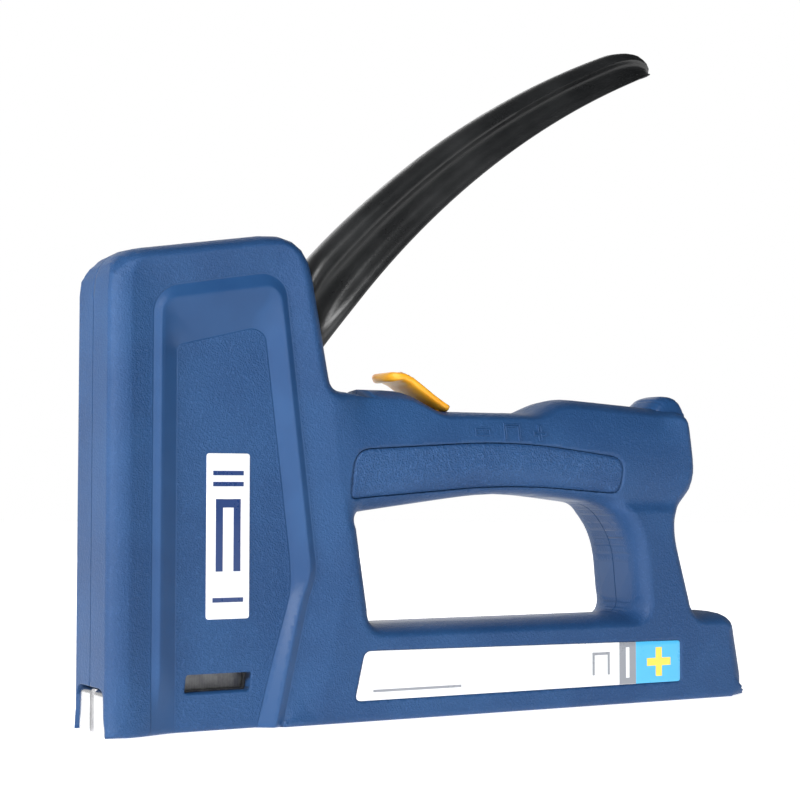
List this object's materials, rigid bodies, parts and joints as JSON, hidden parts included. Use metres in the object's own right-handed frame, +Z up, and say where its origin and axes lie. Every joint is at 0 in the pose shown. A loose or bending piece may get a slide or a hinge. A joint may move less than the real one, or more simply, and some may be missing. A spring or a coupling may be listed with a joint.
{
  "type": "staple gun",
  "caption": "Hand-squeezed staple gun: two-shell body with a hand hole, a long curved lever, a power selector and a bottom magazine.",
  "frame": {"origin": "middle of the steel sole under the nose, where the staple leaves, on the plane that the tool rests on", "axes": "+X from the nose to the rear of the tool, +Y across the tool to its right-hand side, +Z up out of the sole"},
  "size_m": [0.2009, 0.0274, 0.1906],
  "materials": {
    "blue_plastic": "fine-textured moulded plastic",
    "blue_grip": "coarse-textured moulded plastic",
    "black_plastic": "satin black moulding",
    "yellow_plastic": "smooth yellow moulding",
    "rubber": "matt rubber",
    "bright_steel": "bright nickel-plated steel",
    "dark_steel": "blackened steel",
    "printed_film": "printed label film"
  },
  "bodies": {
    "body": {"left_shell": "blue_plastic", "right_shell": "blue_plastic", "left_grip_pad": "blue_grip", "right_grip_pad": "blue_grip", "left_label": "printed_film", "right_label": "printed_film", "left_badge": "printed_film", "right_badge": "printed_film", "shell_screw_1": "dark_steel", "shell_screw_2": "dark_steel", "shell_screw_3": "dark_steel", "shell_screw_4": "dark_steel", "shell_screw_5": "dark_steel", "nose_plate": "bright_steel", "main_spring": "dark_steel", "spring_cap": "black_plastic", "bumper": "rubber", "lever_pin": "bright_steel", "magazine_channel": "bright_steel", "staple_strip": "bright_steel"},
    "lever": {"lever_handle": "black_plastic", "lever_arm": "dark_steel", "arm_roller": "bright_steel", "arm_rivet_1": "bright_steel", "arm_rivet_2": "bright_steel"},
    "striker": {"plunger": "dark_steel", "driver_blade": "bright_steel", "driver_rivet_1": "bright_steel", "driver_rivet_2": "bright_steel"},
    "selector": {"power_selector": "yellow_plastic", "power_bar": "dark_steel"},
    "magazine": {"magazine_rail": "bright_steel", "magazine_cap": "black_plastic", "pusher_rod": "bright_steel", "pusher_spring": "bright_steel"},
    "staple_pusher": {"pusher": "dark_steel"},
    "catch_button": {"magazine_catch": "yellow_plastic"}
  },
  "joints": [
    {"name": "lever_hinge", "type": "hinge", "parent": "body", "child": "lever", "pos_m": [0.04325, 0, 0.09], "axis": [0, 1, 0], "range_deg": [0, 37], "stiffness_Nm_per_rad": 8, "springref_deg": -17.19},
    {"name": "striker_slide", "type": "slide", "parent": "body", "child": "striker", "axis": [0, 0, 1], "range_m": [0, 0.0184], "deforming": ["main_spring"]},
    {"name": "selector_slide", "type": "slide", "parent": "body", "child": "selector", "axis": [1, 0, 0], "range_m": [0, 0.019]},
    {"name": "magazine_slide", "type": "slide", "parent": "body", "child": "magazine", "axis": [1, 0, 0], "range_m": [0, 0.12]},
    {"name": "pusher_slide", "type": "slide", "parent": "magazine", "child": "staple_pusher", "axis": [1, 0, 0], "range_m": [0, 0.1], "stiffness_N_per_m": 20, "springref_m": -0.15, "deforming": ["pusher_spring"]},
    {"name": "catch_press", "type": "slide", "parent": "magazine", "child": "catch_button", "axis": [-1, 0, 0], "range_m": [0, 0.002], "stiffness_N_per_m": 600, "springref_m": -0.001}
  ],
  "couplings": [
    {"joint": "striker_slide", "follows": "lever_hinge", "m_per_rad": 0.028267}
  ]
}
